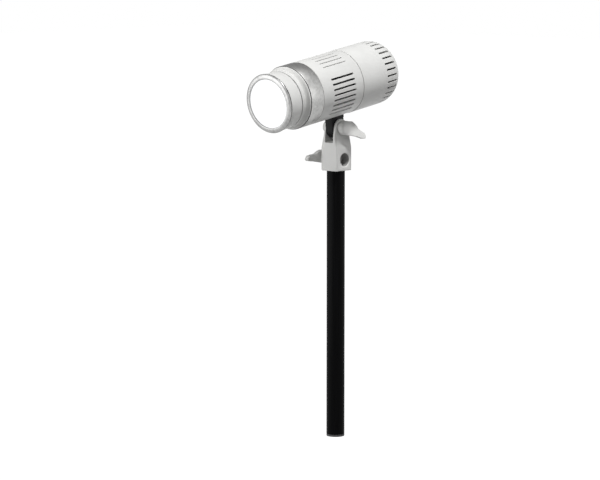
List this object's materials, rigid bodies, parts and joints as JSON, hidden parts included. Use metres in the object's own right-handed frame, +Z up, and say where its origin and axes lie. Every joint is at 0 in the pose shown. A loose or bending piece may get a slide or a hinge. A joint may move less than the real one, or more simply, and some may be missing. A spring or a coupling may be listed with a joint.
{
  "type": "led photography spotlight",
  "caption": "Cylindrical LED spotlight with a rotating focus ring, vented body and rear controls, on a tilting fork clamp over a stand tube.",
  "frame": {"origin": "centre of the flat foot of the stand tube", "axes": "+Z up along the stand tube, -Y the way the head shines, X along the tilt axis, tilt lever on the +X side"},
  "size_m": [0.0778, 0.2163, 0.4782],
  "materials": {
    "pale_paint": "satin light grey enamel",
    "pale_plastic": "light grey moulding",
    "brushed_aluminium": "circular brushed",
    "black_paint": "satin black",
    "black_plastic": "fine grained black",
    "bright_steel": "turned steel",
    "brass": "turned brass",
    "black_anodised": "black anodised",
    "frosted_glass": "frosted, lit from behind",
    "mirror_metal": "polished reflector",
    "phosphor": "yellow phosphor, lit",
    "board_green": "solder mask",
    "fibre": "pressed fibre",
    "copper": "enamelled copper winding"
  },
  "bodies": {
    "stand": {"stand_tube": "black_paint", "tube_end_plug": "black_plastic", "spigot_stud": "bright_steel", "clamp_fork": "pale_paint", "tilt_bolt": "bright_steel", "bolt_cap": "pale_plastic", "washer_left": "fibre", "washer_right": "fibre"},
    "head": {"tilt_bracket": "black_paint", "bracket_screw_front": "bright_steel", "bracket_screw_rear": "bright_steel", "body_shell": "pale_paint", "joint_ring": "black_anodised", "rear_cap": "pale_paint", "guide_tube": "black_anodised", "reflector": "mirror_metal", "led_board": "pale_plastic", "led_phosphor": "phosphor", "cob_holder": "pale_plastic", "heat_sink": "black_anodised", "fan_bracket": "black_anodised", "fan_frame": "black_plastic", "fan_screw_1": "bright_steel", "fan_screw_2": "bright_steel", "fan_screw_3": "bright_steel", "fan_screw_4": "bright_steel", "board_post_1": "brass", "board_post_2": "brass", "board_post_3": "brass", "board_post_4": "brass", "driver_board": "board_green", "inductor": "copper", "capacitor_1": "black_plastic", "capacitor_2": "black_plastic", "terminal_block": "board_green", "dimmer_pot": "bright_steel", "rocker_frame": "black_plastic", "power_inlet": "black_plastic", "inlet_pin": "bright_steel"},
    "tilt_handle": {"tilt_lever": "pale_plastic", "lever_insert": "brass"},
    "pad": {"lock_pad": "brass"},
    "lock_handle": {"lock_lever": "pale_plastic", "lock_screw": "bright_steel"},
    "ring": {"focus_ring": "brushed_aluminium"},
    "barrel": {"lens_barrel": "pale_paint", "cam_pin_1": "bright_steel", "cam_pin_2": "bright_steel", "cam_pin_3": "bright_steel", "front_bezel": "brushed_aluminium", "front_lens": "frosted_glass", "lens_retainer": "black_anodised"},
    "fan": {"fan_rotor": "black_plastic", "fan_shaft": "bright_steel"},
    "dimmer": {"dimmer_shaft": "bright_steel", "dimmer_knob": "black_plastic"},
    "rocker": {"rocker_button": "black_plastic"}
  },
  "joints": [
    {"name": "head_tilt", "type": "hinge", "parent": "stand", "child": "head", "pos_m": [0, 0, 0.3766], "axis": [1, 0, 0], "range_deg": [-60, 70]},
    {"name": "tilt_lever_turn", "type": "hinge", "parent": "stand", "child": "tilt_handle", "pos_m": [0, 0, 0.3766], "axis": [1, 0, 0], "range_deg": [-75, 0]},
    {"name": "lock_slide", "type": "slide", "parent": "stand", "child": "pad", "axis": [-1, 0, 0], "range_m": [0, 0.0025]},
    {"name": "lock_lever_turn", "type": "hinge", "parent": "pad", "child": "lock_handle", "pos_m": [0, 0, 0.3392], "axis": [-1, 0, 0], "range_deg": [0, 720]},
    {"name": "focus_turn", "type": "hinge", "parent": "head", "child": "ring", "pos_m": [0, -0.0083, 0.42844], "axis": [0, 0.9874, 0.1582], "range_deg": [0, 100]},
    {"name": "barrel_slide", "type": "slide", "parent": "head", "child": "barrel", "axis": [0, -0.9874, -0.1582], "range_m": [0, 0.007]},
    {"name": "fan_spin", "type": "hinge", "parent": "head", "child": "fan", "pos_m": [0, -0.0083, 0.42844], "axis": [0, 0.9874, 0.1582], "continuous": true},
    {"name": "dimmer_turn", "type": "hinge", "parent": "head", "child": "dimmer", "pos_m": [0, -0.0083, 0.42844], "axis": [0, 0.9874, 0.1582], "range_deg": [-140, 140]},
    {"name": "rocker_swing", "type": "hinge", "parent": "head", "child": "rocker", "pos_m": [0, 0.07553, 0.45767], "axis": [0, -0.1582, 0.9874], "range_deg": [0, 24]}
  ],
  "couplings": [
    {"joint": "lock_slide", "follows": "lock_lever_turn", "m_per_rad": 0.0001989},
    {"joint": "barrel_slide", "follows": "focus_turn", "m_per_rad": 0.00401}
  ]
}
